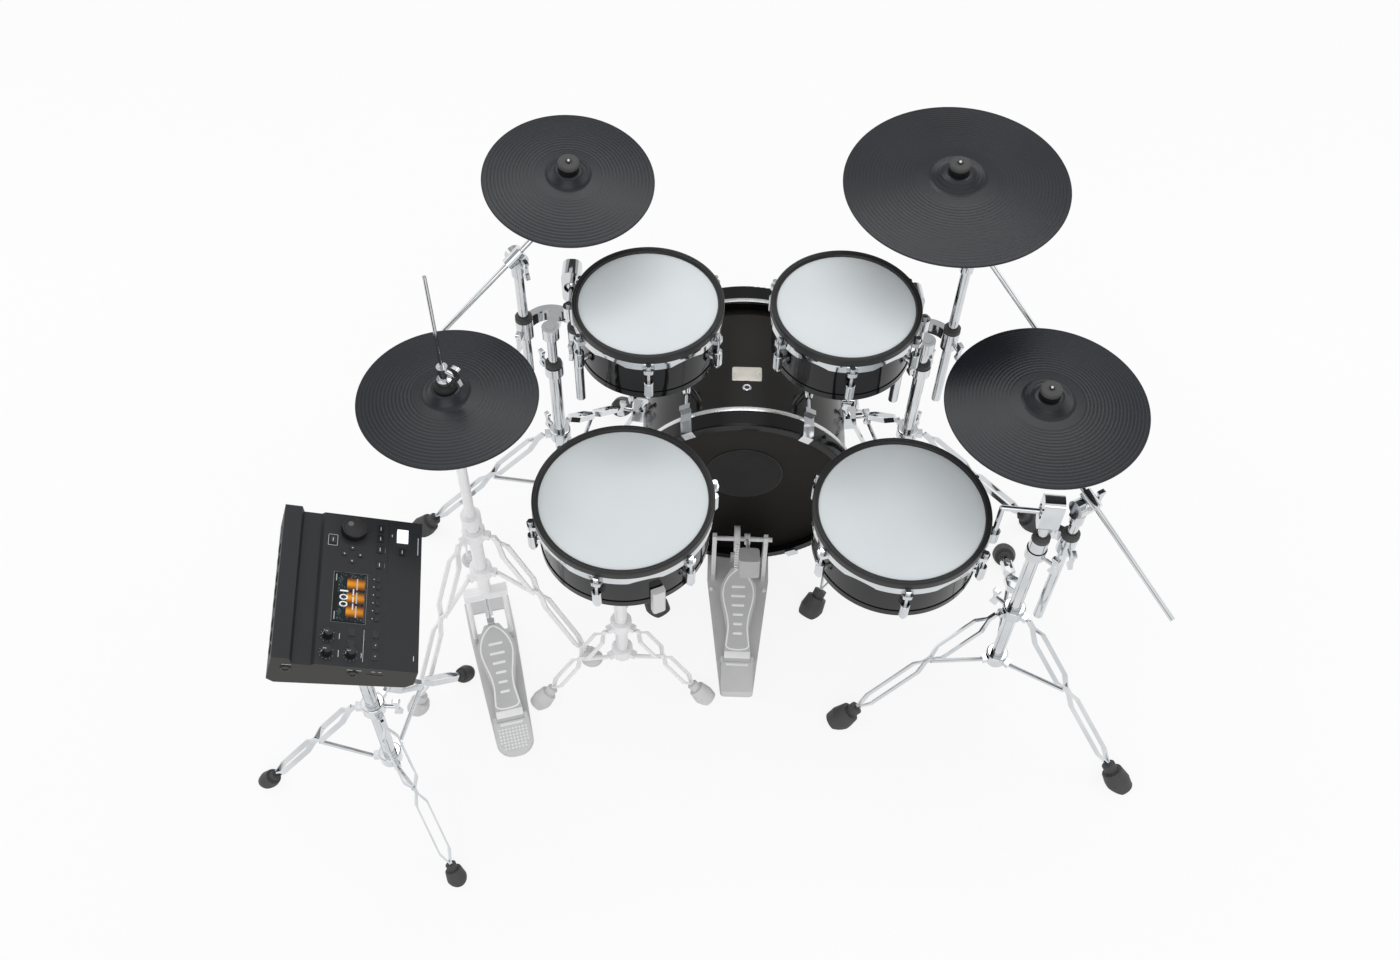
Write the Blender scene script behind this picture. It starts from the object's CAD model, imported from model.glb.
"""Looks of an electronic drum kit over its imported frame. Metres, +Z up, +Y away from the player."""

import math

import bpy
import numpy as np
from mathutils import Matrix


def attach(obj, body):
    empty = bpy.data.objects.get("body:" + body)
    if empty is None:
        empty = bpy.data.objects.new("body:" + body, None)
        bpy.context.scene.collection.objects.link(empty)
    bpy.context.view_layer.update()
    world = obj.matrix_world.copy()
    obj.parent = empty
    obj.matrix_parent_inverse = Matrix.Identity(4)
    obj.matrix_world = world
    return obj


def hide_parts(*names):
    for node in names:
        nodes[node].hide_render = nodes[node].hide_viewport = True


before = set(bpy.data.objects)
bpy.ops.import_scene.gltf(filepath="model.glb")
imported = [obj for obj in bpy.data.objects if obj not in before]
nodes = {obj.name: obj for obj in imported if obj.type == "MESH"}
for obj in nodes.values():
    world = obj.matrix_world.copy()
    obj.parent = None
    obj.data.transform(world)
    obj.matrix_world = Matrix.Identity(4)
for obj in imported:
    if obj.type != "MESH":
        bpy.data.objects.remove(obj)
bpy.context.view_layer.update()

TURN = 2 * np.pi
MM_PER_METRE = 1000
AWAY, NEAR = (0, 1, 0), (0, -1, 0)
BOTH_SIDES = (-1, 1)

# Places and shapes are worked out in millimetres. A shape is its points and a list of face arrays.

EDGE_ROWS = 4
LEAST_CORNER = 0.02
MERGE_DIGITS = 4


def place_at(origin, up):
    """Place as a 4 by 4 array: z along up, x as near to the frame's x as z allows, y square to both."""
    z = np.array(up, float) / np.linalg.norm(up)
    x = np.array((1.0, 0.0, 0.0)) - z * z[0]
    x = x / np.linalg.norm(x)
    place = np.eye(4)
    place[:3, :4] = np.stack([x, np.cross(z, x), z, np.array(origin, float)], 1)
    return place


def moved_by(x=0.0, y=0.0, z=0.0):
    """Place that only moves by the three distances."""
    place = np.eye(4)
    place[:3, 3] = x, y, z
    return place


def turned_about(axis, degrees):
    """Place that turns about x, y or z by an angle, from its cosine and sine."""
    place = np.eye(4)
    one, two = {"x": (1, 2), "y": (2, 0), "z": (0, 1)}[axis]
    c, s = math.cos(math.radians(degrees)), math.sin(math.radians(degrees))
    place[one, one], place[one, two], place[two, one], place[two, two] = c, -s, s, c
    return place


def sheet_of(grid, round_u=False, round_v=False, caps=False):
    """Shape over a grid of points, one face to a cell. A round side joins its last line to its first,
    and caps close the first and the last row with a flat face each."""
    rows, columns = grid.shape[:2]
    i, j = np.meshgrid(
        np.arange(rows - (not round_u)), np.arange(columns - (not round_v)), indexing="ij",
    )
    below, right = (i + 1) % rows, (j + 1) % columns
    cells = [i * columns + j, i * columns + right, below * columns + right, below * columns + j]
    faces = [np.stack(cells, -1).reshape(-1, 4)]
    if caps:
        row = np.arange(columns)
        faces += [row[None, ::-1], row[None] + (rows - 1) * columns]
    return grid.reshape(-1, 3), faces


def turned(profile, steps, ring=False):
    """Profile of radius and height carried round the z axis: x = r cos a, y = r sin a, z = h.
    ring joins the profile's end to its start."""
    profile = np.asarray(profile, float)
    a = np.arange(steps) * TURN / steps
    r, h = profile[:, :1], np.repeat(profile[:, 1:], steps, 1)
    return sheet_of(np.stack([r * np.cos(a), r * np.sin(a), h], -1), ring, True)


def disc(radius, low, high, steps):
    """Round bar from one height to another: the corners of its half section carried round the z axis."""
    return turned([(0, low), (radius, low), (radius, high), (0, high)], steps)


def softened(line, passes, closed=True):
    """Line with its corners cut: each pass keeps the points at a quarter and three quarters of every side."""
    line = np.asarray(line, float)
    for _ in range(passes):
        first, last = line[:1], line[-1:]
        start, end = (line, np.roll(line, -1, 0)) if closed else (line[:-1], line[1:])
        cut = np.stack([start * 0.75 + end * 0.25, start * 0.25 + end * 0.75], 1)
        line = cut.reshape(-1, line.shape[1])
        if not closed:
            line = np.concatenate([first, line, last])
    return line


def rounded_outline(length, width, corner, steps):
    """Rectangle whose corners are quarter turns of the corner radius, anticlockwise."""
    a = (np.arange(4)[:, None] + np.linspace(0, 1, steps)[None]) * TURN / 4
    x = np.array([1, -1, -1, 1])[:, None] * (length / 2 - corner) + corner * np.cos(a)
    y = np.array([1, 1, -1, -1])[:, None] * (width / 2 - corner) + corner * np.sin(a)
    return np.stack([x, y], -1).reshape(-1, 2)


def slab(length, width, height, corner, edge, steps=6, fill=0):
    """Rounded rectangle carried up its height. At the top it draws in by edge (1 - cos a)
    while it rises by edge sin a, a from nought to a quarter turn. With fill the top is that many rows
    that shrink evenly to the middle, so that it can be bent."""
    a = np.linspace(0, TURN / 4, EDGE_ROWS)
    inset = np.concatenate([[0.0], edge * (1 - np.cos(a))])
    rise = np.concatenate([[0.0], height - edge + edge * np.sin(a)])
    rows = [
        np.column_stack([
            rounded_outline(length - 2 * d, width - 2 * d, max(corner - d, LEAST_CORNER), steps),
            np.full(4 * steps, h),
        ])
        for d, h in zip(inset, rise)
    ]
    rows += [rows[-1] * (s, s, 1) for s in np.linspace(1, 0, fill + 1)[1:]]
    points, faces = sheet_of(np.stack(rows), round_v=True, caps=True)
    return points, faces[:2] if fill else faces


def ribbon(path, width, height):
    """Flat band of a given width and height along a closed line in the xy plane: each point of the line
    gives a four-cornered section square to the line's direction."""
    path = np.asarray(path, float)
    along = np.roll(path, -1, 0) - np.roll(path, 1, 0)
    along = along / np.linalg.norm(along, axis=1)[:, None]
    across = np.stack([along[:, 1], -along[:, 0]], 1)
    sides = np.array([[-0.5, 0.0], [0.5, 0.0], [0.5, 1.0], [-0.5, 1.0]]) * (width, height)
    flat = path[:, None] + across[:, None] * sides[None, :, :1]
    rise = np.broadcast_to(sides[None, :, 1:], flat.shape[:2] + (1,))
    return sheet_of(np.concatenate([flat, rise], -1), True, True)


def laid(shape, place):
    """Shape turned by a place's axes and moved to its origin."""
    points, faces = shape
    return points @ place[:3, :3].T + place[:3, 3], faces


def many(shape, places):
    """Shape repeated at every place of a stack."""
    points, faces = shape
    copies = np.einsum("kij,nj->kni", places[:, :3, :3], points) + places[:, None, :3, 3]
    step = np.arange(len(places))[:, None, None] * len(points)
    return copies.reshape(-1, 3), [(f[None] + step).reshape(-1, f.shape[1]) for f in faces]


def spots(x, y, z=0.0):
    """Stack of places that only move, each by one entry of the distances, which may be arrays."""
    moves = np.stack(np.broadcast_arrays(x, y, z), -1).reshape(-1, 3)
    places = np.repeat(np.eye(4)[None], len(moves), 0)
    places[:, :3, 3] = moves
    return places


def piece(name, shapes, body, look, replaces=(), crease=35.0):
    """Points that meet are made one, cells that close up become triangles, and edges that turn by
    more than the crease stay sharp."""
    shift, points, polygons = 0, [], []
    for shape_points, faces in shapes:
        points.append(shape_points)
        polygons += [f + shift for f in faces]
        shift += len(shape_points)
    points = np.concatenate(points)
    _, first, where = np.unique(
        np.round(points, MERGE_DIGITS), axis=0, return_index=True, return_inverse=True,
    )
    where = where.reshape(-1)
    listed = []
    for faces in polygons:
        faces = where[faces]
        same = faces == np.roll(faces, -1, axis=1)
        count = same.sum(1)
        listed += faces[count == 0].tolist()
        if faces.shape[1] == 4:
            for k in range(4):
                listed += np.delete(faces[same[:, k] & (count == 1)], k, axis=1).tolist()
    mesh = bpy.data.meshes.new(name)
    mesh.from_pydata((points[first] / MM_PER_METRE).tolist(), [], listed)
    mesh.polygons.foreach_set("use_smooth", np.ones(len(mesh.polygons), bool))
    mesh.set_sharp_from_angle(angle=math.radians(crease))
    mesh.materials.append(look)
    made = bpy.data.objects.new(name, mesh)
    bpy.context.scene.collection.objects.link(made)
    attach(made, body)
    if replaces:
        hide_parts(*replaces)
    return made


# Finishes. Patterns read Object coordinates, so their scales are per metre, and bumps are in metres.

PLAIN_GLOSS = 0.5
GRAIN_DETAIL = 2.0
THREAD_SCALE, THREAD_LIFT = 285.0, 0.00006


def linear_of(shown):
    """Linear light from screen values of 0 to 255: a straight foot, and a power of 2.4 above it."""
    s = np.asarray(shown, float) / 255
    return np.where(s <= 0.04045, s / 12.92, ((s + 0.055) / 1.055) ** 2.4)


def colour(red, green, blue):
    """Linear colour with full alpha from screen values of 0 to 255."""
    return (*linear_of((red, green, blue)).tolist(), 1.0)


def add_node(tree, kind, inputs=None, **settings):
    """Node of a kind, its settings and its inputs set; an input that is a socket is linked."""
    made = tree.nodes.new(kind)
    for key, value in settings.items():
        setattr(made, key, value)
    for key, value in (inputs or {}).items():
        if isinstance(value, bpy.types.NodeSocket):
            tree.links.new(value, made.inputs[key])
        else:
            made.inputs[key].default_value = value
    return made


def start_finish(name, gloss=PLAIN_GLOSS, **shader):
    """Empty finish with its principled shader, whose plain values are set on its own sockets."""
    look = bpy.data.materials.new(name)
    look.use_nodes = True
    tree = look.node_tree
    body = tree.nodes["Principled BSDF"]
    for key, value in {"Specular IOR Level": gloss, **shader}.items():
        body.inputs[key].default_value = value
    return look, tree, body, add_node(tree, "ShaderNodeTexCoord").outputs["Object"]


def drift(tree, coords, scale, detail=3.0):
    """Noise from 0 to 1 over the coordinates."""
    return add_node(
        tree, "ShaderNodeTexNoise", {"Vector": coords, "Scale": scale, "Detail": detail},
    ).outputs["Fac"]


def shade(tree, factor, stops):
    """Colour ramp over a factor from pairs of position and colour."""
    ramp = add_node(tree, "ShaderNodeValToRGB", {"Fac": factor})
    steps = ramp.color_ramp.elements
    while len(steps) < len(stops):
        steps.new(0.5)
    for step, (position, value) in zip(steps, stops):
        step.position, step.color = position, value
    return ramp.outputs["Color"]


def clouded(tree, cloud, dark, light):
    """Colour that drifts from dark to light over the middle of a cloud's range."""
    return shade(tree, cloud, [(0.3, dark), (0.7, light)])


def mixed(tree, factor, first, second, blend="MIX"):
    """Colour between two by a factor, or blended in another way, on the mix node's colour sockets."""
    return add_node(
        tree, "ShaderNodeMix", {0: factor, 6: first, 7: second}, data_type="RGBA", blend_type=blend,
    ).outputs[2]


def ranged(tree, factor, low, high, start=0.25, end=0.75):
    """Factor carried from start..end to low..high."""
    return add_node(tree, "ShaderNodeMapRange", {
        "Value": factor, "From Min": start, "From Max": end, "To Min": low, "To Max": high,
    }).outputs["Result"]


def bump(tree, body, height, distance):
    """Bump of a real height on the shader's normal."""
    made = add_node(tree, "ShaderNodeBump", {"Height": height, "Distance": distance, "Strength": 1.0})
    tree.links.new(made.outputs[0], body.inputs["Normal"])


def surfaced(tree, body, coords, base, rough, grain, lift):
    """Colour and roughness on the shader, and a fine grain as a bump of the lift's height."""
    tree.links.new(base, body.inputs["Base Color"])
    tree.links.new(rough, body.inputs["Roughness"])
    bump(tree, body, drift(tree, coords, grain, GRAIN_DETAIL), lift)


def grained(name, dark, light, rough, patch, grain, lift=0.00004, **shader):
    """Moulded or painted finish: the colour drifts between two close shades and the roughness with it,
    over patches, and a fine grain is a bump."""
    look, tree, body, coords = start_finish(name, **shader)
    cloud = drift(tree, coords, patch)
    surfaced(tree, body, coords, clouded(tree, cloud, dark, light), ranged(tree, cloud, *rough), grain, lift)
    return look


def chrome_plate(name, dark, light, rough):
    """Plated metal: bright, with a faint cloudiness in its roughness and a very shallow ripple."""
    look, tree, body, coords = start_finish(name, Metallic=1.0)
    base = clouded(tree, drift(tree, coords, 14.0), dark, light)
    surfaced(tree, body, coords, base, ranged(tree, drift(tree, coords, 60.0, 4.0), *rough), 300.0, 0.000003)
    return look


def stepped(name, low, high, level, rough, spread=0.002, grain=900.0, lift=0.00001, **shader):
    """Finish in one pair of shades below a level and in another above it, in metres, the change spread
    over a height, both a little cloudy and with a fine grain."""
    look, tree, body, coords = start_finish(name, **shader)
    cloud = drift(tree, coords, 14.0)
    height = add_node(tree, "ShaderNodeSeparateXYZ", {0: coords}).outputs["Z"]
    above = ranged(tree, height, 0.0, 1.0, level - spread, level + spread)
    base = mixed(tree, above, clouded(tree, cloud, *low), clouded(tree, cloud, *high))
    surfaced(tree, body, coords, base, ranged(tree, cloud, *rough), grain, lift)
    return look


def mesh_weave(name):
    """Woven head: two sets of threads a little over a millimetre apart, crossing at right angles,
    with a faint cloudiness over the whole face."""
    look, tree, body, coords = start_finish(name, 0.2, Roughness=0.62)
    across, along = [
        add_node(
            tree, "ShaderNodeTexWave", {"Vector": coords, "Scale": THREAD_SCALE}, bands_direction=way,
        ).outputs["Fac"]
        for way in ("X", "Y")
    ]
    weave = add_node(tree, "ShaderNodeMath", {0: across, 1: along}, operation="MAXIMUM").outputs[0]
    tint = clouded(tree, drift(tree, coords, 5.0, 2.0), colour(220, 226, 228), colour(226, 231, 233))
    holes = shade(tree, weave, [(0.0, colour(208, 213, 216)), (0.6, colour(255, 255, 255))])
    tree.links.new(mixed(tree, 1.0, tint, holes, "MULTIPLY"), body.inputs["Base Color"])
    bump(tree, body, weave, THREAD_LIFT)
    return look


def panel_moulding(name, side):
    """Charcoal moulding of the sound module, with a browner grey on the face that looks along side."""
    look, tree, body, coords = start_finish(name, 0.3)
    cloud = drift(tree, coords, 12.0)
    top = clouded(tree, cloud, colour(38, 39, 42), colour(43, 44, 48))
    low = clouded(tree, cloud, colour(48, 47, 45), colour(56, 55, 53))
    facing = add_node(tree, "ShaderNodeTexCoord").outputs["Normal"]
    toward = add_node(
        tree, "ShaderNodeVectorMath", {0: facing, 1: tuple(side)}, operation="DOT_PRODUCT",
    ).outputs["Value"]
    base = mixed(tree, ranged(tree, toward, 0.0, 1.0, 0.75, 0.85), top, low)
    surfaced(tree, body, coords, base, ranged(tree, cloud, 0.5, 0.62), 1800.0, 0.00004)
    return look


def lit_finish(name, attribute=None, tones=None, level=1.0):
    """Finish that glows: a screen in the colours of a point attribute, or a lamp key in pale tones."""
    look, tree, body, coords = start_finish(name, 0.08, **{"Emission Strength": level})
    if attribute:
        source = add_node(tree, "ShaderNodeVertexColor", layer_name=attribute).outputs["Color"]
        body.inputs["Base Color"].default_value = colour(8, 8, 9)
    else:
        source = clouded(tree, drift(tree, coords, 90.0), *tones)
        tree.links.new(source, body.inputs["Base Color"])
    tree.links.new(source, body.inputs["Emission Color"])
    tree.links.new(ranged(tree, drift(tree, coords, 40.0), 0.2, 0.3), body.inputs["Roughness"])
    return look


MODULE_SPOT, MODULE_TURN, MODULE_LEAN = (-643.3, -366.5, 690.0), 7.0, 19.0
MODULE_PLACE = moved_by(*MODULE_SPOT) @ turned_about("z", MODULE_TURN) @ turned_about("y", MODULE_LEAN)
SHOE_LEVEL, BEATER_LEVEL, KICK_HEAD_LEVEL = 0.0235, 0.167, 0.25
ENAMEL = {"patch": 14.0, "grain": 900.0, "lift": 0.00001}
PANEL_INK = {"rough": (0.5, 0.6), "patch": 150.0, "grain": 2500.0, "lift": 0.00001}
SHOE_GREYS = (colour(208, 208, 209), colour(215, 215, 216))

chrome = chrome_plate("chrome_plate", colour(202, 205, 208), colour(220, 222, 224), (0.05, 0.12))
silver = chrome_plate("silver_trim", colour(214, 215, 216), colour(228, 229, 230), (0.22, 0.32))
pale_enamel = grained(
    "pale_enamel", colour(240, 240, 241), colour(246, 246, 247), (0.3, 0.42),
    gloss=0.4, Metallic=0.2, **ENAMEL,
)
board_enamel = grained(
    "board_enamel", colour(196, 196, 197), colour(203, 203, 204), (0.42, 0.55), gloss=0.3, **ENAMEL,
)
frame_enamel = stepped(
    "frame_enamel", SHOE_GREYS, (colour(224, 224, 225), colour(231, 231, 232)), SHOE_LEVEL, (0.4, 0.52),
    gloss=0.3,
)
stand_enamel = stepped(
    "stand_enamel", SHOE_GREYS, (colour(244, 244, 245), colour(249, 249, 250)), SHOE_LEVEL, (0.34, 0.46),
    gloss=0.4,
)
beater_enamel = stepped(
    "beater_enamel", (colour(222, 222, 223), colour(232, 232, 233)),
    (colour(180, 180, 181), colour(188, 188, 189)), BEATER_LEVEL, (0.4, 0.52), gloss=0.3,
)
basket_grey = grained(
    "basket_grey", colour(206, 206, 207), colour(213, 213, 214), (0.45, 0.6), gloss=0.3, **ENAMEL,
)
badge_satin = grained(
    "badge_satin", colour(204, 200, 190), colour(216, 212, 202), (0.36, 0.46), 40.0, 900.0, 0.00002,
    gloss=0.4, Metallic=0.3,
)
pale_rubber = grained(
    "pale_grey_rubber", colour(210, 210, 211), colour(217, 217, 218), (0.5, 0.65), 12.0, 1500.0, gloss=0.25,
)
lacquer = grained(
    "black_gloss_lacquer", colour(13, 13, 14), colour(17, 17, 18), (0.06, 0.1), 7.0, 160.0, 0.00002,
    gloss=0.28, **{"Coat Weight": 0.1, "Coat Roughness": 0.03},
)
kick_wrap = grained(
    "kick_satin_wrap", colour(24, 22, 20), colour(29, 27, 25), (0.12, 0.2), 8.0, 700.0, 0.000008, gloss=0.36,
)
kick_skin = stepped(
    "kick_head_film", (colour(20, 18, 16), colour(24, 22, 20)), (colour(46, 44, 41), colour(52, 50, 47)),
    KICK_HEAD_LEVEL, (0.56, 0.68), 0.15, 1100.0, 0.00008, gloss=0.08,
)
kick_patch = grained(
    "kick_patch_felt", colour(48, 48, 48), colour(54, 54, 54), (0.7, 0.85), 16.0, 1600.0, 0.00012, gloss=0.1,
)
head_weave = mesh_weave("head_weave")
rim_rubber = grained(
    "rim_rubber", colour(30, 30, 31), colour(37, 37, 38), (0.3, 0.4), 11.0, 1300.0, gloss=0.35,
)
foot_rubber = grained(
    "foot_rubber", colour(66, 66, 66), colour(76, 76, 75), (0.5, 0.66), 25.0, 1200.0, 0.00006, gloss=0.35,
)
cymbal_rubber = grained(
    "cymbal_rubber", colour(18, 21, 28), colour(24, 27, 35), (0.32, 0.4), 6.0, 1700.0, 0.00003, gloss=0.42,
)
cap_rubber = grained(
    "cap_rubber", colour(18, 18, 19), colour(24, 24, 25), (0.4, 0.55), 40.0, 1500.0, gloss=0.35,
)
module_moulding = panel_moulding("module_moulding", -MODULE_PLACE[:3, 1])
key_moulding = grained(
    "key_moulding", colour(20, 20, 22), colour(27, 27, 29), (0.35, 0.5), 60.0, 2000.0, 0.00003, gloss=0.4,
)
socket_black = grained("socket_black", colour(8, 8, 8), colour(14, 14, 14), (0.3, 0.5), 80.0, 1500.0)
panel_print = grained("panel_print", colour(198, 199, 201), colour(212, 213, 214), **PANEL_INK)
faint_print = grained("faint_print", colour(92, 93, 97), colour(102, 103, 107), **PANEL_INK)
pale_print = grained(
    "pale_print", colour(247, 247, 247), colour(252, 252, 252), (0.5, 0.6), 80.0, 2000.0, 0.00001,
)
screen_glass = grained(
    "screen_glass", colour(6, 6, 7), colour(10, 10, 11), (0.05, 0.09), 30.0, 200.0, 0.00001,
    **{"Coat Weight": 0.4},
)
screen_light = lit_finish("screen_light", attribute="picture")
key_light = lit_finish("key_light", tones=(colour(236, 240, 250), colour(250, 252, 255)), level=0.75)

FINISHES = {
    "chrome": chrome, "pale_metal": pale_enamel, "black_lacquer": lacquer, "kick_lacquer": kick_wrap,
    "kick_skin": kick_skin, "mesh": head_weave, "rubber": foot_rubber, "pale_rubber": pale_rubber,
    "cymbal_rubber": cymbal_rubber, "module_plastic": module_moulding, "key_plastic": key_moulding,
    "lit_key": key_light, "screen_glass": screen_glass,
}
OWN_FINISH = {
    "pedal_frame": frame_enamel, "pedal_footboard": board_enamel, "hihat_footboard": board_enamel,
    "hihat_stand": stand_enamel, "pedal_beater": beater_enamel, "snare_basket": basket_grey,
}
for name, item in nodes.items():
    for holder in item.material_slots:
        holder.material = OWN_FINISH.get(name, FINISHES[holder.material.name.split(".")[0]])


# Cymbals: a bowed, grooved disc with a bell, and a cap over its stud

SMALL_CYMBAL, MIDDLE_CYMBAL, LARGE_CYMBAL = 152.5, 178.0, 203.0
RISE_SHARE, BELL_FOOT_SHARE = 0.075, 0.28
BELL_HEIGHT, BELL_FLAT, BELL_BORE, BELL_SEAT = 15.0, 21.0, 6.8, 14.0
CYMBAL_SWELL, CYMBAL_WALL, EDGE_THINNER = 1.2, 6.0, 2.5
TOP_EDGE_GAP, UNDER_EDGE_GAP = 1.2, 3.5
EDGE_OFFSETS = [(-0.4, -3.0), (0.0, -2.0), (0.0, -1.0), (-0.4, -0.25)]
GROOVE_PITCH, GROOVE_DEPTH, GROOVE_FADE = 6.4, 0.22, 3.0
GROOVE_EDGE_GAP, GROOVE_BELL_GAP = 4.0, 1.0
PLAIN_BAND_SHARE, PLAIN_HALF_SHARE, PLAIN_FADE = 1.12, 0.14, 4.0

# Outlines of the cap's parts: radius, and height over the bell
SLEEVE = [(9.2, 0.0), (18.4, 0.0), (18.9, 0.6), (18.9, 9.0), (9.2, 9.0)]
CAP_WALL = [(9.2, 9.0), (19.5, 9.0), (19.5, 14.5), (17.2, 19.0), (5.4, 19.0), (4.6, 15.5)]
CAP_INSIDE = [(0.0, 15.5), (0.0, 13.0), (9.2, 13.0), (9.2, 9.0)]
CAP_PIN = [(0.0, 14.0), (2.9, 14.0), (2.9, 20.5), (2.2, 22.2), (1.0, 22.9), (0.0, 23.0)]
HIHAT_CUP = [(3.5, 0.0), (21.0, 0.0), (20.0, 6.0), (16.5, 12.0), (3.5, 12.0)]

# By label: the node that it replaces, its body, its edge's centre, its axis, its radius and its steps round
CYMBALS = {
    "left_crash": ("crash_left", "left_crash", (-339, 339, 937), (0.07, -0.12, 1), SMALL_CYMBAL, 176),
    "ride": ("ride", "ride_cymbal", (351, 381, 920), (-0.04, -0.04, 1), LARGE_CYMBAL, 208),
    "right_crash": ("crash_right", "right_crash", (509, 26, 736), (-0.03, -0.03, 1), MIDDLE_CYMBAL, 192),
}
HIHAT_SPOT = (-516, -54)
HIHAT_HEIGHT, HIHAT_STEPS = 800, 176


def bell_top(radius):
    """Height of the bell over the cymbal's edge: the rise of the bow and the bell's own height."""
    return radius * RISE_SHARE + BELL_HEIGHT


def cymbal_profile(radius):
    """Closed profile of a cymbal. Its top falls from the bell's foot to the edge as rise (1 - t) with a
    swell of sin(pi t), the bell adds half a cosine of its height, and turned grooves take away
    depth (1 - cos(2 pi r / pitch)) / 2, but not round the bell's foot. Below lies the same curve, plain."""
    foot = radius * BELL_FOOT_SHARE

    def outward(r):
        """Share of the way from the bell's foot to the edge."""
        return np.clip((r - foot) / (radius - foot), 0, 1)

    def height(r):
        """Height of the plain top: the bow with its swell, and the bell."""
        t = outward(r)
        s = np.clip((r - BELL_FLAT) / (foot - BELL_FLAT), 0, 1)
        bow = radius * RISE_SHARE * (1 - t) + CYMBAL_SWELL * np.sin(np.pi * t)
        return bow + BELL_HEIGHT / 2 * (1 + np.cos(np.pi * s))

    above = np.arange(radius - TOP_EDGE_GAP, BELL_FLAT, -GROOVE_PITCH / 8)
    fade = np.clip((radius - GROOVE_EDGE_GAP - above) / GROOVE_FADE, 0, 1)
    fade = fade * np.clip((above - BELL_FLAT - GROOVE_BELL_GAP) / GROOVE_FADE, 0, 1)
    off_band = np.abs(above - foot * PLAIN_BAND_SHARE) - foot * PLAIN_HALF_SHARE
    fade = fade * np.clip(off_band / PLAIN_FADE, 0, 1)
    groove = GROOVE_DEPTH * fade * (1 - np.cos(TURN * above / GROOVE_PITCH)) / 2
    top = np.stack([above, height(above) - groove], 1)
    flat = bell_top(radius)
    seat = flat - CYMBAL_WALL
    hub = [(BELL_FLAT, flat), (BELL_BORE, flat), (BELL_BORE, seat), (BELL_SEAT, seat)]
    below = np.linspace(BELL_FLAT, radius - UNDER_EDGE_GAP, 24)
    bottom = np.stack([below, height(below) - CYMBAL_WALL + EDGE_THINNER * outward(below)], 1)
    return np.concatenate([top, hub, bottom, np.array(EDGE_OFFSETS) + (radius, 0)])


def make_cymbal(label, name, body, centre, axis, radius, steps):
    """Disc and cap of one cymbal about its leaning axis; the cap is a black sleeve under a paler softened
    drum with a well round its pin."""
    place = place_at(centre, axis)
    bell = place @ moved_by(z=bell_top(radius))
    piece(label + "_disc", [laid(turned(cymbal_profile(radius), steps, ring=True), place)], body,
          cymbal_rubber, [name], crease=60.0)
    piece(label + "_sleeve", [laid(turned(SLEEVE, 48, ring=True), bell)], body,
          cap_rubber, crease=40.0)
    cap = np.concatenate([softened(CAP_WALL, 3, closed=False), CAP_INSIDE])
    piece(label + "_cap", [laid(turned(cap, 48), bell)], body, foot_rubber, crease=40.0)
    piece(label + "_pin", [laid(turned(CAP_PIN, 24), bell)], body, chrome, crease=40.0)


for label, cymbal in CYMBALS.items():
    make_cymbal(label, *cymbal)

hihat_edge = moved_by(*HIHAT_SPOT, HIHAT_HEIGHT)
piece("hihat_disc", [laid(turned(cymbal_profile(SMALL_CYMBAL), HIHAT_STEPS, ring=True), hihat_edge)],
      "hihat_pull", cymbal_rubber, ["hihat_cymbal"], crease=60.0)
hihat_bell = hihat_edge @ moved_by(z=bell_top(SMALL_CYMBAL))
piece("hihat_cup", [laid(turned(softened(HIHAT_CUP, 2), 48, ring=True), hihat_bell)], "hihat_pull",
      cap_rubber, crease=40.0)


# Pads: the rubber rim over each hoop

LARGE_PAD, SMALL_PAD = 148.0, 123.5

# By pad: its body, the centre of its mesh and the mesh's radius
PADS = {
    "snare": ("snare_drum", (-222, -125, 625), LARGE_PAD),
    "floor_tom": ("low_tom", (270, -99, 582), LARGE_PAD),
    "tom_left": ("left_tom", (-192, 177, 800), SMALL_PAD),
    "tom_right": ("right_tom", (160, 192, 793), SMALL_PAD),
}

# Outlines of the rim: distance out from the mesh's radius, and height over the mesh
RIM_CREST = [
    (12.0, -9.0), (12.0, 4.6), (10.6, 7.0), (7.2, 7.0), (6.0, 5.6), (5.0, 5.9), (2.0, 4.4), (0.0, 1.6),
    (0.0, 0.3),
]
RIM_LEDGE = [(4.0, 0.3), (4.0, 1.0), (8.4, 1.0), (8.4, -9.0)]


def rim_profile(radius):
    """Closed profile of a rim: a skirt outside, a rounded crest, a shallow groove and a slope in to the
    mesh, over a flat ledge."""
    crest = softened(np.array(RIM_CREST) + (radius, 0), 3, closed=False)
    return np.concatenate([crest, np.array(RIM_LEDGE) + (radius, 0)])


for pad, (body, centre, radius) in PADS.items():
    piece(pad + "_rubber_rim", [laid(turned(rim_profile(radius), 160, ring=True), moved_by(*centre))], body,
          rim_rubber, [pad + "_rim"], crease=40.0)


# Kick drum: silver lines on the hoops, bead and face of the patch, badge plate and vent on the shell

KICK_HEIGHT, SHELL_RADIUS = 242, 217.0
HOOP_LINE = [(235.4, 0.0), (236.24, 0.4), (236.24, 9.6), (235.4, 10.0)]
HOOP_LINE_DEPTHS = {"front": 204.5, "rear": 499.5}
PATCH_HEIGHT = 300
BEAD_DEPTH, BEAD_RADIUS, BEAD_ROUND, BEAD_STEPS = 183.4, 78.2, 1.5, 16
PATCH_DEPTH = 182.6
PATCH_FACE = [(0.0, 0.0), (77.2, 0.0), (77.2, 0.25), (76.6, 0.45), (0.0, 0.45)]
BADGE_SPOT, BADGE_SIZE, BADGE_CORNER, BADGE_EDGE = (-2, 316), (60, 37, 1.8), 4.0, 0.7
STUD_REACH = 25
STUD = [(2.2, 0.0), (2.2, 2.4), (1.4, 3.0), (0.0, 3.0)]
VENT_SPOT = (-2, 279)
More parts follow.
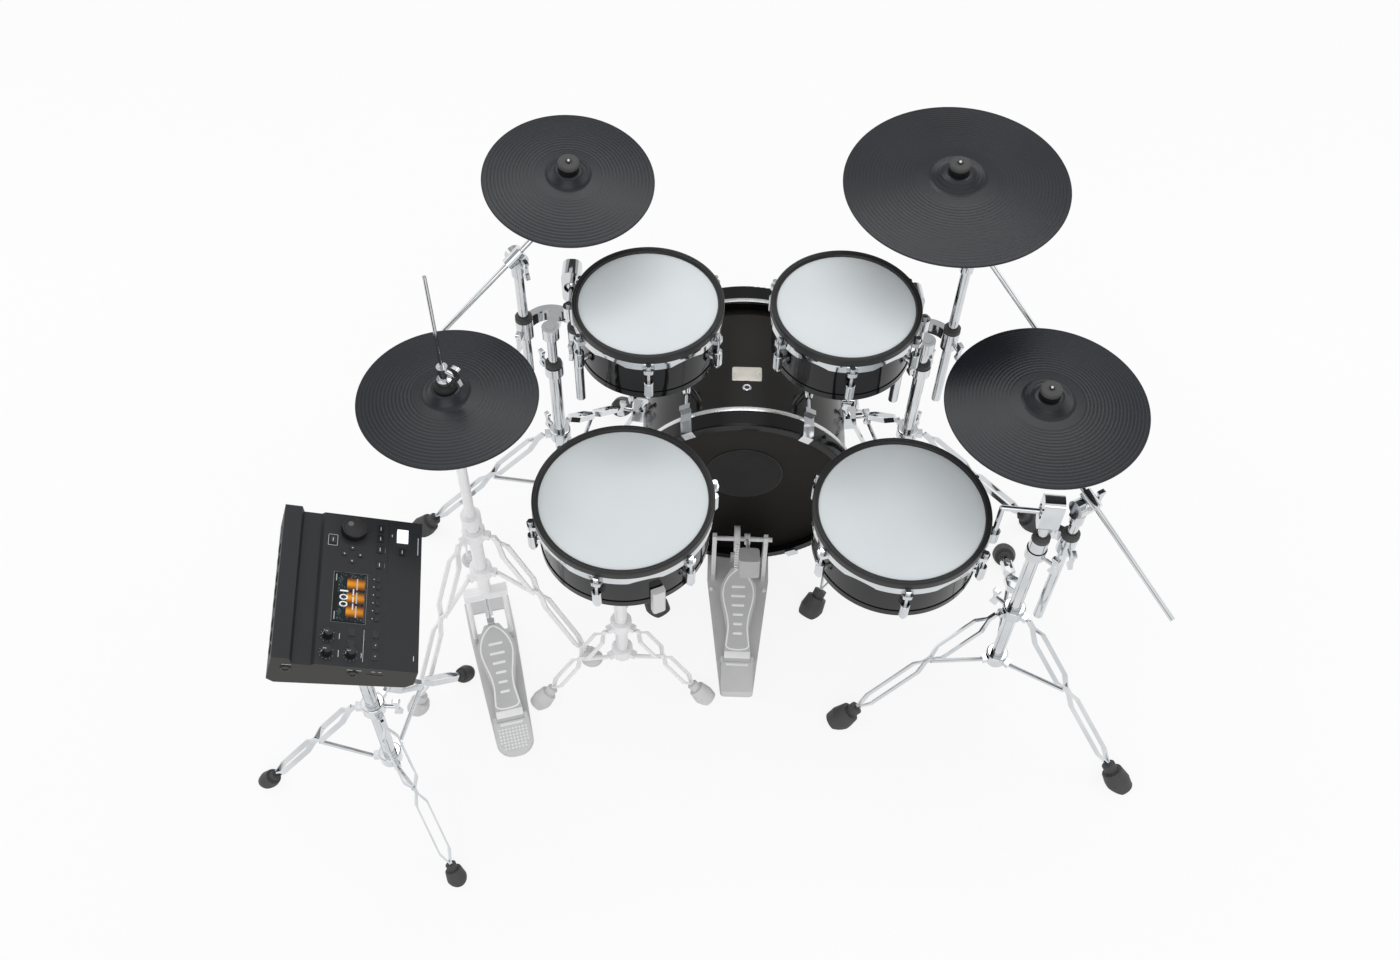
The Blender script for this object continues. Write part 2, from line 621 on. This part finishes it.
VENT_RING = [(4.2, 0.2), (9.0, 0.2), (9.0, 1.6), (7.4, 3.0), (5.2, 3.0), (4.2, 1.6)]
VENT_HOLE_RADIUS, VENT_HOLE_LOW, VENT_HOLE_HIGH = 4.4, 0.1, 0.9


def on_kick(shape, x, y):
    """Flat shape bent over the shell's top: across is an angle about the kick's axis, and height a radius."""
    points, faces = shape
    angle = (points[:, 0] + x) / SHELL_RADIUS
    radius = SHELL_RADIUS + points[:, 2]
    bent = [radius * np.sin(angle), points[:, 1] + y, KICK_HEIGHT + radius * np.cos(angle)]
    return np.stack(bent, 1), faces


hoop_line = turned(softened(HOOP_LINE, 1), 224, ring=True)
for label, depth in HOOP_LINE_DEPTHS.items():
    hoop_place = place_at((0, depth, KICK_HEIGHT), AWAY)
    piece(f"kick_{label}_hoop_line", [laid(hoop_line, hoop_place)], "kit", silver)
a = np.arange(BEAD_STEPS) * TURN / BEAD_STEPS
bead = np.stack([BEAD_RADIUS + BEAD_ROUND * np.cos(a), BEAD_ROUND * np.sin(a)], 1)
bead_place = place_at((0, BEAD_DEPTH, PATCH_HEIGHT), AWAY)
piece("kick_patch_bead", [laid(turned(bead, 128, ring=True), bead_place)], "kit", rim_rubber)
patch_place = place_at((0, PATCH_DEPTH, PATCH_HEIGHT), NEAR)
piece("kick_patch_face", [laid(turned(softened(PATCH_FACE, 1, closed=False), 128), patch_place)], "kit",
      kick_patch)
badge = slab(*BADGE_SIZE, BADGE_CORNER, BADGE_EDGE, steps=8, fill=8)
piece("kick_badge_plate", [on_kick(badge, *BADGE_SPOT)], "kit", badge_satin)
stud = turned(softened(STUD, 2, closed=False), 16)
studs = [on_kick(laid(stud, moved_by(side * STUD_REACH)), *BADGE_SPOT) for side in BOTH_SIDES]
piece("kick_badge_studs", studs, "kit", chrome)
vent_ring = turned(softened(VENT_RING, 2), 32, ring=True)
piece("kick_vent_ring", [on_kick(vent_ring, *VENT_SPOT)], "kit", chrome)
vent_hole = disc(VENT_HOLE_RADIUS, VENT_HOLE_LOW, VENT_HOLE_HIGH, 24)
piece("kick_vent_hole", [on_kick(vent_hole, *VENT_SPOT)], "kit", socket_black)


# Pedals: lines and ribs on the footboards, marks on the heels, bolts and chain

KICK_PEDAL = np.eye(4)
HIHAT_PEDAL_TURN, HIHAT_PEDAL_SHIFT = 16.4, -107
HIHAT_PEDAL = moved_by(*HIHAT_SPOT) @ turned_about("z", HIHAT_PEDAL_TURN) @ moved_by(y=HIHAT_PEDAL_SHIFT)
HINGE_SPOT = (0, -95, 16)
BOARD_LIFT, BOARD_LENGTH, BOARD_THICK = 42, 207, 6
BOARD_RISE = math.degrees(math.asin(BOARD_LIFT / BOARD_LENGTH))

# The edge line's distance from the hinge and its half width there
TREAD_Y = np.array([22, 45, 70, 95, 120, 143, 160, 175, 189, 199, 203])
TREAD_HALF = np.array([25, 22.5, 19.5, 22, 28.5, 33, 32, 27, 18.5, 8, 0])
TREAD_LINE_WIDTH, TREAD_LINE_RISE = 3.2, 0.5
RIB_Y = np.arange(58, 184, 21)
RIB_SHARE, RIB_WIDTH, RIB_RISE, RIB_CORNER, RIB_EDGE = 0.95, 5.4, 0.6, 2.4, 0.3
STRAP_Y, STRAP_SIZE, STRAP_CORNER, STRAP_EDGE = 10.5, (54, 15, 0.9), 1.0, 0.3

HEEL_TOP, HEEL_RADIUS, HEEL_CENTRE = 22, 33, -139
HEEL_SLOT_Y, HEEL_SLOT_SIZE, HEEL_SLOT_CORNER, HEEL_SLOT_EDGE = -108, (46, 5.0, 0.5), 1.0, 0.2
HEEL_DOT = [(2.1, 0.0), (2.1, 0.4), (0.0, 0.4)]
HEEL_DOTS_HALF, HEEL_DOTS_ACROSS, HEEL_DOTS_START, HEEL_DOTS_STEP, HEEL_DOT_GAP = 27, 9, -119, 7.2, 3
BOLT_SPOT = (57, 88, 4)
BOLT = [(4.4, 0.0), (4.4, 2.2), (3.4, 3.2), (0.0, 3.4)]

LINK, LINKS = 9.8, 9
CHAIN_FOOT = (-7.0, 102.6, 66.5)
PLATE_HALF, PLATE_WAIST, PLATE_WALL, PLATE_STEPS = 2.9, 0.75, 1.0, 28
INNER_PLATES, OUTER_PLATES = 2.4, 3.6
ROLLER_RADIUS, ROLLER_HALF = 2.2, 3.0


def dress_footboard(label, body, pedal):
    """Line that follows the board's edge, its half width read at places from the hinge to the toe and
    softened, cross ribs inside it, and the pale hinge strap."""
    top = pedal @ moved_by(*HINGE_SPOT) @ turned_about("x", BOARD_RISE) @ moved_by(z=BOARD_THICK)
    right = np.stack([TREAD_HALF, TREAD_Y], 1).astype(float)
    line = softened(np.concatenate([right, right[-2::-1] * (-1, 1)]), 2)
    shapes = [ribbon(line, TREAD_LINE_WIDTH, TREAD_LINE_RISE)]
    for y, half in zip(RIB_Y, np.interp(RIB_Y, TREAD_Y, TREAD_HALF)):
        rib = slab(half * RIB_SHARE, RIB_WIDTH, RIB_RISE, RIB_CORNER, RIB_EDGE)
        shapes.append(laid(rib, moved_by(0, y)))
    shapes.append(laid(slab(*STRAP_SIZE, STRAP_CORNER, STRAP_EDGE), moved_by(0, STRAP_Y)))
    piece(label + "_tread_lines", [laid(s, top) for s in shapes], body, pale_print)


def heel_marks(label, pedal, rows):
    """Pale slot behind the hinge and, where there are rows, a grid of dots inside the half-round heel:
    those that lie nearer to its middle line than its half width there, less a gap."""
    top = pedal @ moved_by(z=HEEL_TOP)
    shapes = [laid(slab(*HEEL_SLOT_SIZE, HEEL_SLOT_CORNER, HEEL_SLOT_EDGE), moved_by(0, HEEL_SLOT_Y))]
    if rows:
        across = np.linspace(-HEEL_DOTS_HALF, HEEL_DOTS_HALF, HEEL_DOTS_ACROSS)
        x, y = np.meshgrid(across, HEEL_DOTS_START - np.arange(rows) * HEEL_DOTS_STEP)
        behind = np.clip(HEEL_CENTRE - y, 0, HEEL_RADIUS)
        inside = np.abs(x) < np.sqrt(HEEL_RADIUS ** 2 - behind ** 2) - HEEL_DOT_GAP
        dot = turned(softened(HEEL_DOT, 1, closed=False), 10)
        shapes.append(many(dot, spots(x[inside], y[inside])))
    piece(label + "_heel_marks", [laid(s, top) for s in shapes], "kit", pale_print)


def chain_shapes():
    """Roller chain hanging straight: at each joint a roller, and between joints a pair of plates, set by
    turns further in and further out. A plate's outline is ((half - waist sin t sin t) cos t,
    (link / 2 + half) sin t)."""
    t = np.arange(PLATE_STEPS) * TURN / PLATE_STEPS
    waist = PLATE_HALF - PLATE_WAIST * np.sin(t) ** 2
    outline = np.stack([waist * np.cos(t), (LINK / 2 + PLATE_HALF) * np.sin(t)], 1)
    faces = [np.column_stack([np.full(PLATE_STEPS, s * PLATE_WALL / 2), outline]) for s in BOTH_SIDES]
    plate = sheet_of(np.stack(faces), round_v=True, caps=True)
    roller = laid(disc(ROLLER_RADIUS, -ROLLER_HALF, ROLLER_HALF, 12), turned_about("y", 90))
    shapes = [many(roller, spots(0.0, 0.0, np.arange(LINKS + 1) * LINK))]
    for side in BOTH_SIDES:
        for first, out in ((0, INNER_PLATES), (1, OUTER_PLATES)):
            heights = (np.arange(first, LINKS, 2) + 0.5) * LINK
            shapes.append(many(plate, spots(side * out, 0.0, heights)))
    return [laid(s, moved_by(*CHAIN_FOOT)) for s in shapes]


dress_footboard("kick_pedal", "kick_treadle", KICK_PEDAL)
dress_footboard("hihat_pedal", "hihat_treadle", HIHAT_PEDAL)
heel_marks("kick_pedal", KICK_PEDAL, 0)
heel_marks("hihat_pedal", HIHAT_PEDAL, 7)
bolt = turned(softened(BOLT, 2, closed=False), 24)
bolts = [laid(bolt, moved_by(side * BOLT_SPOT[0], *BOLT_SPOT[1:])) for side in BOTH_SIDES]
piece("kick_pedal_bolts", bolts, "kit", pale_print)
piece("pedal_roller_chain", chain_shapes(), "chain", pale_enamel, ["pedal_chain"])


# Sound module: screen picture, printed marks, dial and knob marks, sockets

# On the panel, x runs to the front edge and y along the width
SCREEN_Y, SCREEN_RISE, SCREEN_WALL = -17.5, 0.35, 0.3
SCREEN_HALF = np.array([26, 46])
SCREEN_CELLS = np.array([78, 138])

# The screen's picture in shares of its width and height, and its tones in screen values
GROUND_TONE, RIPPLE_TONE = np.array([14, 24, 26]), np.array([70, 92, 96])
STAVE_TONE, STAVE_GLOW = np.array([96, 38, 0]), np.array([158, 140, 30])
STAVE_SHARES, STAVE_HALF_SHARE, STAVE_UP_SHARE = (0.22, 0.5, 0.78), 0.115, 0.32
STAVE_TALL_SHARE, STAVE_BULGE_SHARE = 0.2592, 0.0216
RING_SHARES, RING_HALF_SHARES, STROKE_SHARES = (0.36, 0.5), (0.055, 0.125), (0.612, 0.638)
NUMBER_TONE, NUMBER_UP_SHARE = (248, 249, 250), 0.68
BAND_TONE, BAND_UP_SHARES = (196, 190, 178), (0.3, 0.02)
TOP_BAR_TONE, TOP_BAR_SHARE = (9, 12, 12), 0.86
TOP_DASH_TONE, TOP_DASH_UP_SHARES = (180, 186, 186), (0.93, 0.015)
TOP_DASH_SHARES = ((0.04, 0.2), (0.82, 0.96))
LOW_DASH_TONE, LOW_DASH_UP_SHARES = (226, 228, 230), (0.4, 0.022)
LOW_DASH_SHARES = ((0.26, 0.38), (0.41, 0.52), (0.55, 0.68))
TAB_TONE, TABS, TAB_SHARE, TAB_UP_SHARE = (60, 66, 68), 6, 0.8, 0.07
BORDER_TONE, BORDER_SHARES = (6, 6, 7), (0.485, 0.475)


def on_module(shape, x=0.0, y=0.0, z=0.0):
    """Shape laid on the module's panel at a spot and a height over it."""
    return laid(shape, MODULE_PLACE @ moved_by(x, y, z))


def screen_picture(right, up):
    """Colour over the screen, right and up from 0 to 1: three amber staves shaded like barrels on a dark
    rippled ground, a dark bar along the top, and the number 001 drawn as rings and a bar."""
    def on(mask, tone, under):
        """The tone where the mask holds, and elsewhere what lies under it."""
        return np.where(mask[..., None], np.array(tone, float), under)

    def bar(start, end, middle, half):
        """Mask of a bar from start to end, as far as half above and below the middle."""
        return (right > start) & (right < end) & (np.abs(up - middle) < half)

    ripple = np.sin(right * 47 + 5 * np.sin(up * 13)) * np.sin(up * 31 + 4 * np.sin(right * 19))
    shown = GROUND_TONE + RIPPLE_TONE * np.clip(ripple, 0, 1)[..., None] ** 2
    for middle in STAVE_SHARES:
        across = (right - middle) / STAVE_HALF_SHARE
        swell = np.clip(1 - across ** 2, 0, 1)
        tall = STAVE_TALL_SHARE + STAVE_BULGE_SHARE * np.sqrt(swell)
        inside = (np.abs(across) < 1) & (np.abs(up - STAVE_UP_SHARE) < tall)
        glow = swell[..., None] ** 1.5 * (0.6 + 0.4 * up[..., None])
        shown = on(inside, STAVE_TONE + glow * STAVE_GLOW, shown)
        shown = on(inside & bar(0, 1, *BAND_UP_SHARES), BAND_TONE, shown)
    shown = on(up > TOP_BAR_SHARE, TOP_BAR_TONE, shown)
    for ends in TOP_DASH_SHARES:
        shown = on(bar(*ends, *TOP_DASH_UP_SHARES), TOP_DASH_TONE, shown)
    half_wide, half_tall = RING_HALF_SHARES
    for middle in RING_SHARES:
        oval = np.hypot((right - middle) / half_wide, (up - NUMBER_UP_SHARE) / half_tall)
        shown = on(np.abs(oval - 0.84) < 0.17, NUMBER_TONE, shown)
    shown = on(bar(*STROKE_SHARES, NUMBER_UP_SHARE, half_tall), NUMBER_TONE, shown)
    for ends in LOW_DASH_SHARES:
        shown = on(bar(*ends, *LOW_DASH_UP_SHARES), LOW_DASH_TONE, shown)
    shown = on((up < TAB_UP_SHARE) & (np.mod(right * TABS, 1) < TAB_SHARE), TAB_TONE, shown)
    border = (np.abs(right - 0.5) > BORDER_SHARES[0]) | (np.abs(up - 0.5) > BORDER_SHARES[1])
    return on(border, BORDER_TONE, shown)


def make_screen():
    """Lit face of the display: a flat grid just above its glass, coloured point by point, given a
    thickness by Solidify. Each point of the mesh finds its colour from its place on the panel."""
    lines = [np.linspace(-half, half, cells + 1) for half, cells in zip(SCREEN_HALF, SCREEN_CELLS)]
    x, y = np.meshgrid(*lines, indexing="ij")
    grid = np.stack([x, y + SCREEN_Y, np.full_like(x, SCREEN_RISE)], -1)
    size = 2 * SCREEN_HALF
    shown = screen_picture((y + SCREEN_HALF[1]) / size[1], (SCREEN_HALF[0] - x) / size[0])
    made = piece("module_screen_picture", [on_module(sheet_of(grid))], "module_head",
                 screen_light)
    local = np.zeros(len(made.data.vertices) * 3, np.float32)
    made.data.vertices.foreach_get("co", local)
    flat = (local.reshape(-1, 3) * MM_PER_METRE - MODULE_PLACE[:3, 3]) @ MODULE_PLACE[:3, :3]
    i, j = np.rint((flat[:, :2] - (0, SCREEN_Y) + SCREEN_HALF) / size * SCREEN_CELLS).astype(int).T
    tones = np.column_stack([linear_of(shown[i, j]), np.ones(len(flat))])
    layer = made.data.color_attributes.new("picture", "FLOAT_COLOR", "POINT")
    layer.data.foreach_set("color", tones.astype(np.float32).ravel())
    thick = made.modifiers.new("thickness", "SOLIDIFY")
    thick.thickness, thick.offset = SCREEN_WALL / MM_PER_METRE, -1


make_screen()

INK_RISE, INK_EDGE, KEY_TOP = 0.12, 0.03, 1.4
MARKED_KEYS = [(44, 121.5), (44, 101.9), (44, 80.2), (44, 50.1), (80, 80.2), (-32, 90)]
OUTLINED_KEYS = [(6.5, -80.5), (6.5, -101.4), (44, -80.5), (44, -100.7), (44, -120.5)]
KEY_DASH, KEY_POINT, CAPTION, CAPTION_X = (7, 1.1), (1.6, 1.6), (9, 0.9), 52.5
GLASS_LENGTH, FIRST_FUNCTION_SHARE, FUNCTION_STEP_SHARE = 94, 0.42, 0.158
FUNCTION_X, FUNCTION_RADIUS = 37, 0.9
FUNCTION_Y = SCREEN_Y + GLASS_LENGTH * (FIRST_FUNCTION_SHARE - np.arange(6) * FUNCTION_STEP_SHARE)
CURSOR_Y, CURSOR_REACH, CURSOR_RADIUS = 65, 12.6, 1.1
LARGE_BOX, LARGE_BOX_LINE = (21, 14.5), 0.6
SMALL_BOX, SMALL_BOX_LINE, BOX_CORNER = (14, 9), 0.5, 1.5
SEAM = (278, 0.8, 57, 0)

# Single dashes on the panel: length, width, x and y
PANEL_DASHES = [
    (58, 0.6, 25.5, -103), (10, 1.0, -12, -89.5), (12, 1.0, -12, -120.5), (9, 1.0, 23, -120.5),
    (34, 1.3, 106, 95), (9, 1.2, 104, -118), (5, 1.4, 63, 111),
]


def dash(length, width, x, y, z=0.0):
    """Printed mark: a thin bar, its length along the panel's width."""
    return on_module(slab(width, length, INK_RISE, min(width, length) * 0.3, INK_EDGE, 3), x, y, z)


def box_line(length, width, x, y, line):
    """Printed outline: a band round a rounded rectangle."""
    return on_module(ribbon(rounded_outline(width, length, BOX_CORNER, 5), line, INK_RISE), x, y)


marks = [box_line(*LARGE_BOX, *MARKED_KEYS[-1], LARGE_BOX_LINE)]
marks += [dash(*values) for values in PANEL_DASHES]
marks += [dash(*KEY_DASH, *spot, KEY_TOP) for spot in MARKED_KEYS]
marks += [dash(*KEY_POINT, *spot, KEY_TOP) for spot in OUTLINED_KEYS[-2:]]
function_dot = disc(FUNCTION_RADIUS, 0, INK_RISE, 10)
marks += [on_module(function_dot, FUNCTION_X, y) for y in FUNCTION_Y]
cursor_turn = np.arange(4) * TURN / 4
cursor_spots = spots(CURSOR_REACH * np.cos(cursor_turn), CURSOR_REACH * np.sin(cursor_turn))
cursor_dots = many(disc(CURSOR_RADIUS, 0, INK_RISE, 10), cursor_spots)
marks.append(on_module(cursor_dots, 0, CURSOR_Y, KEY_TOP))
piece("module_marks", marks, "module_head", panel_print, crease=30.0)
piece("module_seam", [dash(*SEAM)], "module_head", key_moulding)
faint = [dash(*CAPTION, CAPTION_X, y) for _, y in MARKED_KEYS[2:4]]
faint += [box_line(*SMALL_BOX, *spot, SMALL_BOX_LINE) for spot in OUTLINED_KEYS]
piece("module_faint_marks", faint, "module_head", faint_print, crease=30.0)

DIAL_SPOT, DIMPLE_SPOT = (0, 111), (-6.5, 117.5, 11.8)
KNURLS, KNURL_DEPTH, DIAL_STEPS = 48, 0.35, 288
DIAL_RADII = np.array([20.0, 20.45, 20.45, 20.0, 19.2, 19.2])
DIAL_HEIGHTS = np.array([1.2, 2.2, 11.0, 12.0, 12.0, 1.2])
DIAL_KNURLED = np.array([0, 1, 1, 0, 0, 0])
DIMPLE = [(4.6, 0.0), (4.6, 0.5), (3.6, 0.6), (2.4, 0.25), (0.0, 0.15)]
KNOBS = {"phones": (-30, -89.5), "level": (-30, -120.5), "mix": (6.5, -120.5)}
POINTER_WIDTH, POINTER_RISE, POINTER_CORNER, POINTER_EDGE = 1.7, 0.3, 0.4, 0.1
POINTER_TOP, POINTER_TOP_SPOT = 6.2, (-4.0, 0, 13.0)
POINTER_SIDE, POINTER_SIDE_SPOT, POINTER_LEAN = 11, (-7.6, 0, 6.8), -83
SCALE_REACH, SCALE_DOT, SCALE_SWEEP, SCALE_DOTS = 11.2, 0.42, 150, 11


def dial_ring():
    """Knurled ring round the dial: the radius swells and sinks by depth sin(48 a) between rounded rims."""
    a = np.arange(DIAL_STEPS) * TURN / DIAL_STEPS
    r = DIAL_RADII[:, None] + KNURL_DEPTH * DIAL_KNURLED[:, None] * np.sin(KNURLS * a)
    height = np.repeat(DIAL_HEIGHTS[:, None], DIAL_STEPS, 1)
    return sheet_of(np.stack([r * np.cos(a), r * np.sin(a), height], -1), True, True)


def pointer_bar(length):
    """Pale bar of a knob's pointer."""
    return slab(length, POINTER_WIDTH, POINTER_RISE, POINTER_CORNER, POINTER_EDGE, 4)


piece("module_dial_grip", [on_module(dial_ring(), *DIAL_SPOT)], "dial", key_moulding)
dimple = turned(softened(DIMPLE, 2, closed=False), 24)
piece("module_dial_dimple", [on_module(dimple, *DIMPLE_SPOT)], "dial", faint_print)
ticks = np.radians(np.linspace(-SCALE_SWEEP, SCALE_SWEEP, SCALE_DOTS)) + np.pi
scale_spots = spots(SCALE_REACH * np.cos(ticks), SCALE_REACH * np.sin(ticks))
scale = many(disc(SCALE_DOT, 0, INK_RISE, 8), scale_spots)
pointer = [
    laid(pointer_bar(POINTER_TOP), moved_by(*POINTER_TOP_SPOT)),
    laid(pointer_bar(POINTER_SIDE), moved_by(*POINTER_SIDE_SPOT) @ turned_about("y", POINTER_LEAN)),
]
for knob, spot in KNOBS.items():
    piece(f"module_{knob}_pointer", [on_module(s, *spot) for s in pointer], f"{knob}_knob",
          pale_print)
    piece(f"module_{knob}_scale", [on_module(scale, *spot)], "module_head", panel_print)

MODULE_LEFT, MODULE_REAR = -142.5, -112
LEFT_SIDE = MODULE_PLACE @ moved_by(y=MODULE_LEFT) @ turned_about("x", 90)
REAR_SIDE = MODULE_PLACE @ moved_by(x=MODULE_REAR) @ turned_about("y", -90)
LEFT_SOCKETS = [(-87, -20), (14, -20)]
REAR_SOCKETS = [(-22, y) for y in (-112, -88, -64, -28, -4, 20, 52, 76)]
SOCKET_NUT = [(4.4, 0.0), (8.6, 0.0), (8.6, 1.2), (7.2, 2.0), (5.2, 2.0), (4.4, 1.0)]
WELL_RADIUS, WELL_LOW, WELL_HIGH = 4.8, 0.1, 0.7
SLOT_SPOT, SLOT_SIZE, SLOT_CORNER, SLOT_EDGE = (48, -20), (25, 3.2, 0.6), 1.0, 0.2
POWER_SPOT, POWER_SIZE, POWER_CORNER, POWER_EDGE = (-24, 108), (18, 14, 0.8), 2.0, 0.3
SIDE_MARK_Y, SIDE_MARK_WIDTH, SIDE_MARK_CORNER = -9, 1.1, 0.3

# By place along the left side: the length of its mark
SIDE_MARKS = {-87: 14, 8: 9, 22: 8, 44: 6, 54: 5}

socket_places = [LEFT_SIDE @ moved_by(*spot) for spot in LEFT_SOCKETS]
socket_places += [REAR_SIDE @ moved_by(*spot) for spot in REAR_SOCKETS]
socket_places = np.stack(socket_places)
nut = turned(softened(SOCKET_NUT, 2), 28, ring=True)
piece("module_socket_nuts", [many(nut, socket_places)], "module_head", key_moulding)
wells = [
    many(disc(WELL_RADIUS, WELL_LOW, WELL_HIGH, 20), socket_places),
    laid(slab(*SLOT_SIZE, SLOT_CORNER, SLOT_EDGE), LEFT_SIDE @ moved_by(*SLOT_SPOT)),
    laid(slab(*POWER_SIZE, POWER_CORNER, POWER_EDGE), REAR_SIDE @ moved_by(*POWER_SPOT)),
]
piece("module_socket_wells", wells, "module_head", socket_black)


def side_mark(x, length):
    """Printed bar on the module's left side."""
    bar = slab(length, SIDE_MARK_WIDTH, INK_RISE, SIDE_MARK_CORNER, INK_EDGE, 3)
    return laid(bar, LEFT_SIDE @ moved_by(x, SIDE_MARK_Y))


side_marks = [side_mark(x, length) for x, length in SIDE_MARKS.items()]
piece("module_side_marks", side_marks, "module_head", panel_print, crease=30.0)


# Floor, light and camera, in metres

FLOOR_HALF, FLOOR_DROP, FLOOR_WHITE_SHARE = 9.0, 0.0005, 0.85
FLOOR_GREYS = (0.84, 0.84, 0.84, 1), (0.87, 0.87, 0.87, 1)
WHITE, ROOM_GREY = (1, 1, 1, 1), (0.45, 0.45, 0.45, 1)
WORLD_LEVEL = 0.8

# By lamp: its place, the point it faces, its width and height, and its power in watts
LAMPS = {
    "front_lamp": ((-0.2, -3.1, 2.7), (0, 0.0, 0.4), (3.4, 1.6), 26),
    "back_lamp": ((0.1, 1.7, 3.6), (0, 0.1, 0.7), (3.2, 0.8), 23),
    "left_lamp": ((-3.0, 0.6, 1.9), (0, 0.2, 0.5), (1.2, 2.4), 8),
    "right_lamp": ((3.0, 0.6, 1.9), (0, 0.2, 0.5), (1.2, 2.4), 8),
}
CAMERA_PLACE = Matrix((
    (0.999449, -0.033181, 0.0, -0.09),
    (0.02661, 0.801541, -0.597348, -1.55),
    (0.01982, 0.597019, 0.801982, 2.6),
    (0.0, 0.0, 0.0, 1.0),
))
LENS, SENSOR, FAR_CLIP = 36.0, 36.0, 100


def white_where_seen(tree, output, lit, share=1.0, tone=WHITE):
    """Mixes plain white, or a tone, over a shader where camera, mirror or glass rays meet it, by a share."""
    path = add_node(tree, "ShaderNodeLightPath")
    seen = add_node(tree, "ShaderNodeMath", {
        0: path.outputs["Is Camera Ray"], 1: path.outputs["Is Glossy Ray"],
    }, operation="ADD")
    seen = add_node(tree, "ShaderNodeMath", {
        0: seen.outputs[0], 1: path.outputs["Is Transmission Ray"],
    }, operation="ADD", use_clamp=True)
    part = add_node(tree, "ShaderNodeMath", {0: seen.outputs[0], 1: share}, operation="MULTIPLY")
    kind = "ShaderNodeBackground" if output.type == "OUTPUT_WORLD" else "ShaderNodeEmission"
    white = add_node(tree, kind, {"Color": tone, "Strength": 1.0})
    blended = add_node(tree, "ShaderNodeMixShader", {0: part.outputs[0], 1: lit, 2: white.outputs[0]})
    tree.links.new(blended.outputs[0], output.inputs["Surface"])


def make_floor():
    """Wide flat floor just under the feet, one square face."""
    look, tree, body, coords = start_finish("pale_floor", 0.0, Roughness=0.9)
    tree.links.new(clouded(tree, drift(tree, coords, 0.8), *FLOOR_GREYS), body.inputs["Base Color"])
    white_where_seen(tree, tree.nodes["Material Output"], body.outputs[0], FLOOR_WHITE_SHARE)
    mesh = bpy.data.meshes.new("floor")
    corners = [(x * FLOOR_HALF, y * FLOOR_HALF, -FLOOR_DROP) for x, y in ((-1, -1), (1, -1), (1, 1), (-1, 1))]
    mesh.from_pydata(corners, [], [(0, 1, 2, 3)])
    mesh.materials.append(look)
    floor = bpy.data.objects.new("floor", mesh)
    bpy.context.scene.collection.objects.link(floor)


def make_world():
    """Even light. The camera sees plain white, and mirror and glass rays a white room with a greyer band
    under its ceiling."""
    world = bpy.data.worlds.new("studio")
    bpy.context.scene.world = world
    world.use_nodes = True
    tree = world.node_tree
    lit = tree.nodes["Background"]
    lit.inputs["Color"].default_value = WHITE
    lit.inputs["Strength"].default_value = WORLD_LEVEL
    way = add_node(tree, "ShaderNodeTexCoord").outputs["Generated"]
    height = add_node(tree, "ShaderNodeSeparateXYZ", {0: way}).outputs["Z"]
    room = shade(tree, height, [(0.16, WHITE), (0.34, ROOM_GREY), (0.7, ROOM_GREY), (0.84, WHITE)])
    camera_ray = add_node(tree, "ShaderNodeLightPath").outputs["Is Camera Ray"]
    seen = mixed(tree, camera_ray, room, WHITE)
    white_where_seen(tree, tree.nodes["World Output"], lit.outputs[0], tone=seen)


def soft_lamp(name, place, aim, size, power):
    """Wide flat lamp at a place, turned to face a point."""
    data = bpy.data.lights.new(name, "AREA")
    data.shape, data.size, data.size_y, data.energy = "RECTANGLE", size[0], size[1], power
    lamp = bpy.data.objects.new(name, data)
    bpy.context.scene.collection.objects.link(lamp)
    lamp.matrix_world = Matrix(place_at(place, np.array(place) - np.array(aim)).tolist())


def make_camera():
    """Camera at the photograph's place."""
    data = bpy.data.cameras.new("camera")
    data.lens, data.sensor_width, data.clip_end = LENS, SENSOR, FAR_CLIP
    camera = bpy.data.objects.new("camera", data)
    bpy.context.scene.collection.objects.link(camera)
    camera.matrix_world = CAMERA_PLACE
    bpy.context.scene.camera = camera


make_floor()
make_world()
for name, lamp in LAMPS.items():
    soft_lamp(name, *lamp)
make_camera()
bpy.context.scene.view_settings.view_transform = "Standard"
